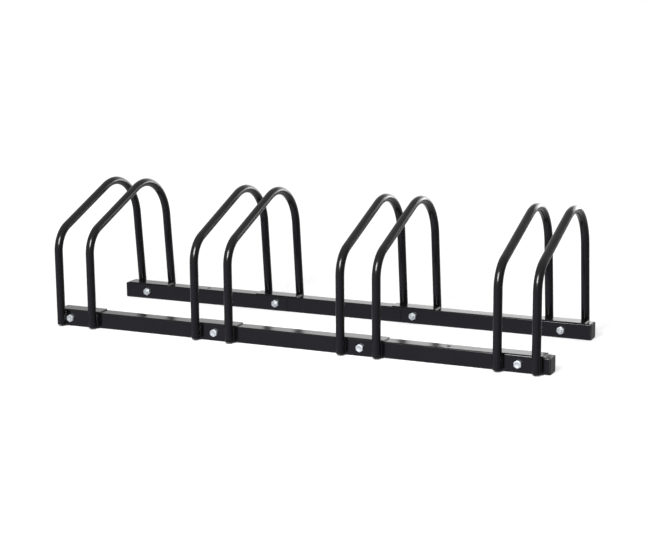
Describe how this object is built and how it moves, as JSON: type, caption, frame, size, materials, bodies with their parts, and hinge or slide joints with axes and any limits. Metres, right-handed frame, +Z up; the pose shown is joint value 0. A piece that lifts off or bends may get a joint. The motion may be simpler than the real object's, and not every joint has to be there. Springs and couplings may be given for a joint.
{
  "type": "bike stand",
  "caption": "Floor bike stand: pairs of bent tube hoops on angle brackets bolted over long square rails, each pair holding a bicycle wheel upright.",
  "frame": {"origin": "middle of the stand's footprint, on the floor", "axes": "+X along the rails to the right, +Y from the front with the upright legs to the rear with the leaning legs, +Z up"},
  "size_m": [0.9934, 0.33, 0.262],
  "materials": {
    "frame_black": "semi-gloss black powder coat on steel",
    "cap_black": "satin black moulded plastic",
    "zinc": "bright zinc plated steel"
  },
  "bodies": {
    "root": {"bay_1_left_hoop": "frame_black", "bay_1_right_hoop": "frame_black", "bay_2_left_hoop": "frame_black", "bay_2_right_hoop": "frame_black", "bay_3_left_hoop": "frame_black", "bay_3_right_hoop": "frame_black", "bay_4_left_hoop": "frame_black", "bay_4_right_hoop": "frame_black", "bay_1_front_bracket": "frame_black", "bay_1_rear_bracket": "frame_black", "bay_2_front_bracket": "frame_black", "bay_2_rear_bracket": "frame_black", "bay_3_front_bracket": "frame_black", "bay_3_rear_bracket": "frame_black", "bay_4_front_bracket": "frame_black", "bay_4_rear_bracket": "frame_black", "bay_1_welds": "frame_black", "bay_2_welds": "frame_black", "bay_3_welds": "frame_black", "bay_4_welds": "frame_black", "front_left_rail": "frame_black", "front_middle_rail": "frame_black", "front_right_rail": "frame_black", "rear_left_rail": "frame_black", "rear_middle_rail": "frame_black", "rear_right_rail": "frame_black", "front_left_end_cap": "cap_black", "front_right_end_cap": "cap_black", "rear_left_end_cap": "cap_black", "rear_right_end_cap": "cap_black", "hex_bolts": "zinc", "hex_nuts": "zinc"}
  },
  "joints": []
}
